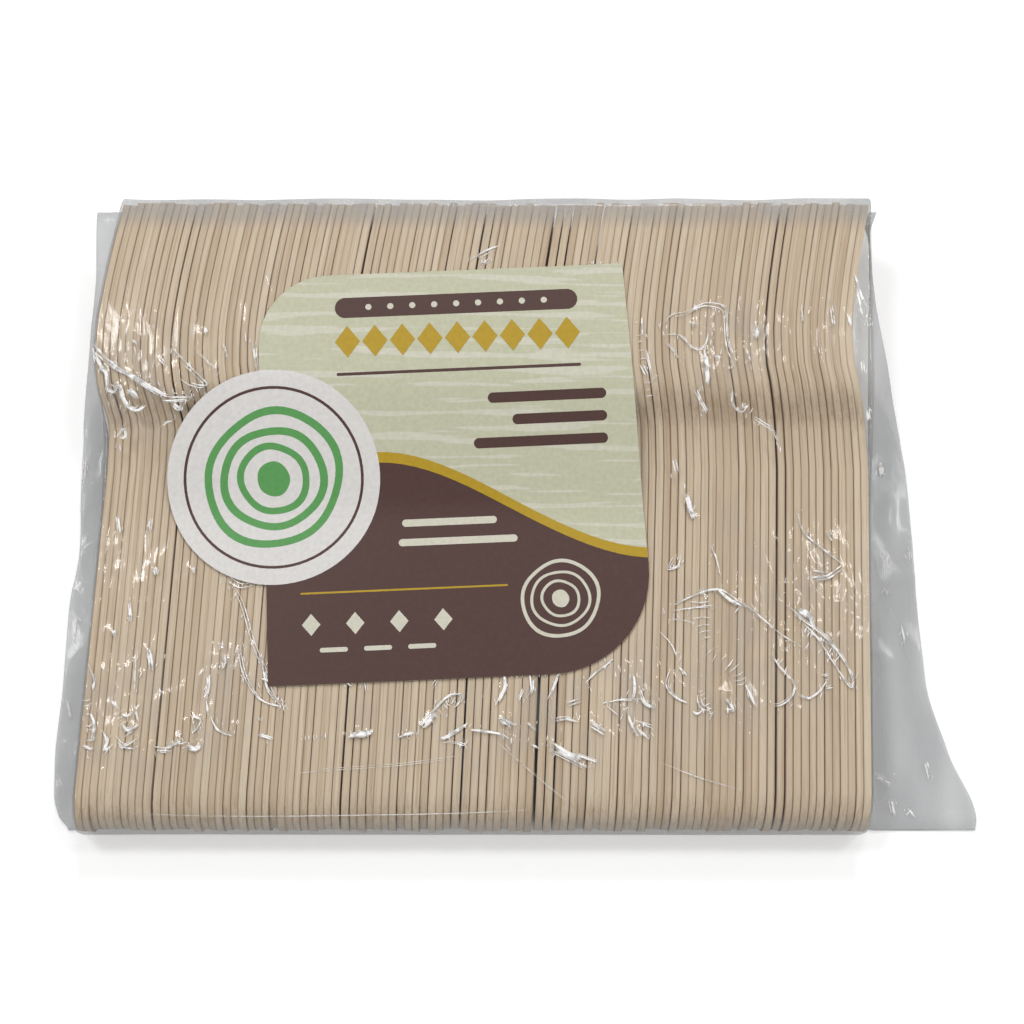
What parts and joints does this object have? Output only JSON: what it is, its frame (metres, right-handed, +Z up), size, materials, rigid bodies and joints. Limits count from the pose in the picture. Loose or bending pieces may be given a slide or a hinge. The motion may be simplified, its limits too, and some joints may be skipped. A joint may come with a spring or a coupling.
{
  "type": "wooden fork pack",
  "caption": "Clear film bag of nested wooden forks standing on their long edges, with a loose flap at one end and a die-cut paper label on top.",
  "frame": {"origin": "on the film's flat underside, in the middle of the row of forks", "axes": "+X across the row of forks towards the wide flap, +Y along the forks towards their tines, +Z up"},
  "size_m": [0.2365, 0.1616, 0.0304],
  "materials": {
    "birch": "raw, smooth cut",
    "clear_film": "clear, crinkled",
    "label_paper": "satin coated"
  },
  "bodies": {
    "root": {"fork_pair_01": "birch", "fork_pair_02": "birch", "fork_pair_03": "birch", "fork_pair_04": "birch", "fork_pair_05": "birch", "fork_pair_06": "birch", "fork_pair_07": "birch", "fork_pair_08": "birch", "fork_pair_09": "birch", "fork_pair_10": "birch", "fork_pair_11": "birch", "fork_pair_12": "birch", "fork_pair_13": "birch", "fork_pair_14": "birch", "fork_pair_15": "birch", "fork_pair_16": "birch", "fork_pair_17": "birch", "fork_pair_18": "birch", "fork_pair_19": "birch", "fork_pair_20": "birch", "fork_pair_21": "birch", "fork_pair_22": "birch", "fork_pair_23": "birch", "fork_pair_24": "birch", "fork_pair_25": "birch", "fork_pair_26": "birch", "fork_pair_27": "birch", "fork_pair_28": "birch", "fork_pair_29": "birch", "fork_pair_30": "birch", "fork_pair_31": "birch", "fork_pair_32": "birch", "fork_pair_33": "birch", "fork_pair_34": "birch", "fork_pair_35": "birch", "fork_pair_36": "birch", "fork_pair_37": "birch", "fork_pair_38": "birch", "fork_pair_39": "birch", "fork_pair_40": "birch", "fork_pair_41": "birch", "fork_pair_42": "birch", "fork_pair_43": "birch", "fork_pair_44": "birch", "fork_pair_45": "birch", "fork_pair_46": "birch", "fork_pair_47": "birch", "fork_pair_48": "birch", "fork_pair_49": "birch", "fork_pair_50": "birch", "film_bag": "clear_film", "label": "label_paper"}
  },
  "joints": []
}
